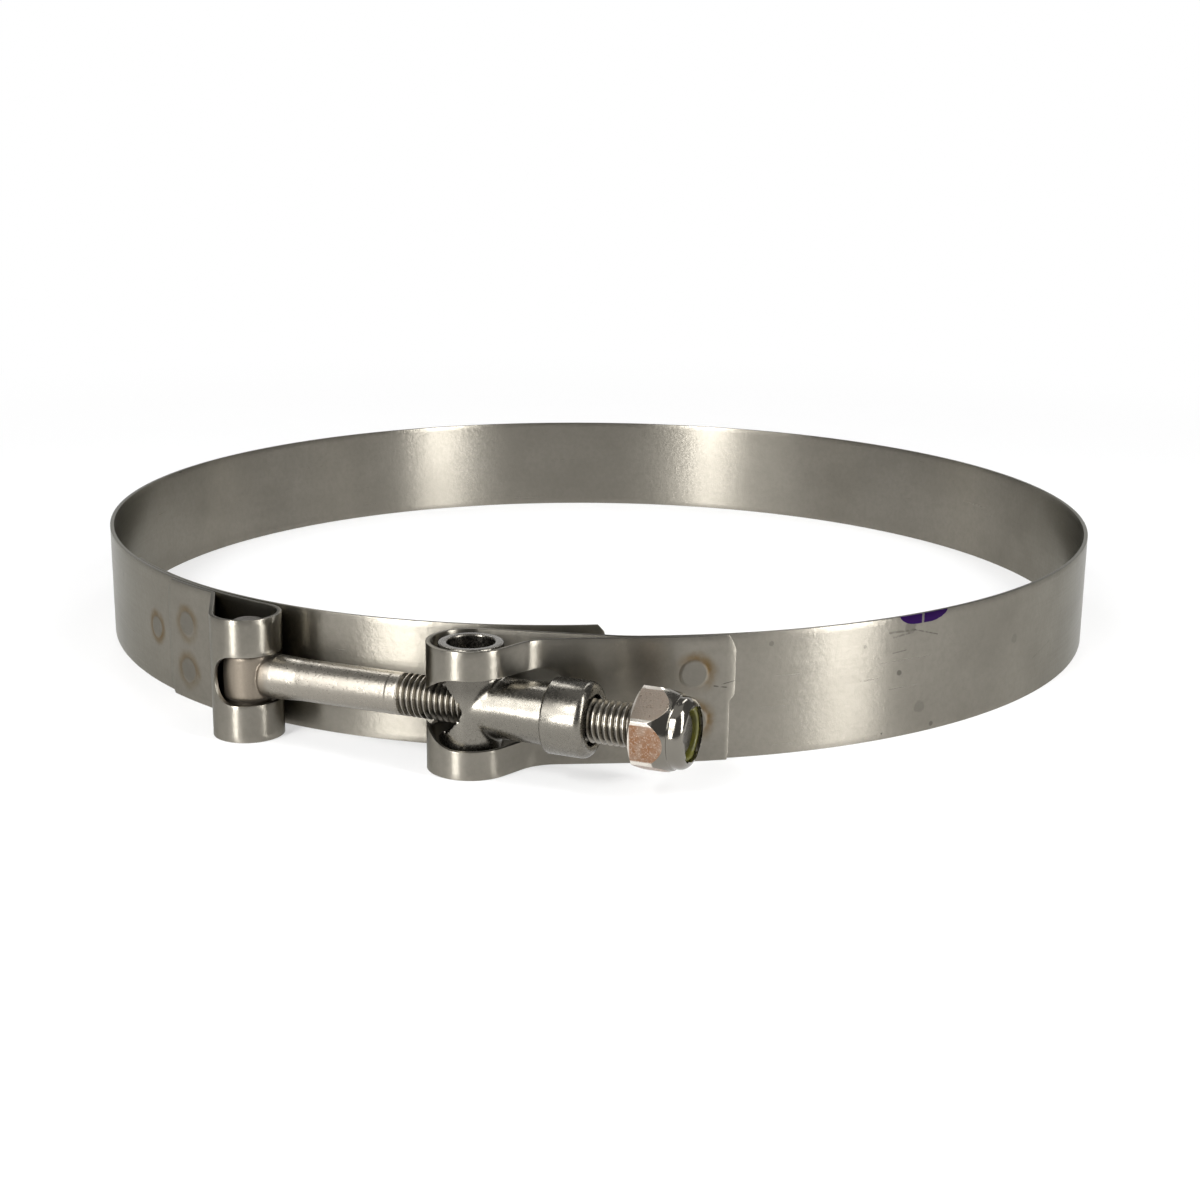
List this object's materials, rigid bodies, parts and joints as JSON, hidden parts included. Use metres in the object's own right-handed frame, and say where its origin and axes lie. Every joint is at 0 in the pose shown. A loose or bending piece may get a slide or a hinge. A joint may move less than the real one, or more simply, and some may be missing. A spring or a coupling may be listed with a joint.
{
  "type": "t bolt clamp",
  "caption": "Round steel T-bolt hose clamp: folded band with inner bridge, T-headed bolt, pivoting trunnion and nylon-insert lock nut that draws the ring shut.",
  "frame": {"origin": "centre of the ring at the band's lower edge", "axes": "+Z along the hose's axis, -Y towards the bolt, +X towards the nut's end of the bolt"},
  "size_m": [0.18, 0.1994, 0.0191],
  "materials": {
    "strip_steel": "rolled satin strip with a warm grey tone and heat tint at the welds",
    "bolt_steel": "forged and lightly peened shank, rolled thread",
    "trunnion_steel": "smooth bright tumbled steel",
    "nut_steel": "bright steel with a coppery film on the flats",
    "nylon": "olive yellow nylon"
  },
  "bodies": {
    "band": {"band": "strip_steel", "bridge": "strip_steel"},
    "t_bolt": {"t_bolt": "bolt_steel"},
    "trunnion": {"trunnion": "trunnion_steel", "trunnion_collar": "trunnion_steel"},
    "insert": {"nylon_insert": "nylon"},
    "nut": {"lock_nut": "nut_steel"}
  },
  "joints": [
    {"name": "bolt_swing", "type": "hinge", "parent": "band", "child": "t_bolt", "pos_m": [-0.05257, -0.07872, 0.00953], "axis": [0, 0, 1], "range_deg": [-1, 0.6]},
    {"name": "trunnion_slide", "type": "slide", "parent": "t_bolt", "child": "trunnion", "axis": [0.9288, -0.3705, 0], "range_m": [-0.0007, 0.0007]},
    {"name": "nut_travel", "type": "slide", "parent": "t_bolt", "child": "insert", "axis": [0.9288, -0.3705, 0], "range_m": [-0.006, 0.0085]},
    {"name": "nut_spin", "type": "hinge", "parent": "insert", "child": "nut", "pos_m": [0.00622, -0.10217, 0.00953], "axis": [0.9288, -0.3705, 0], "range_deg": [-2380, 3370]}
  ],
  "couplings": [
    {"joint": "nut_travel", "follows": "nut_spin", "m_per_rad": 0.00014438}
  ]
}
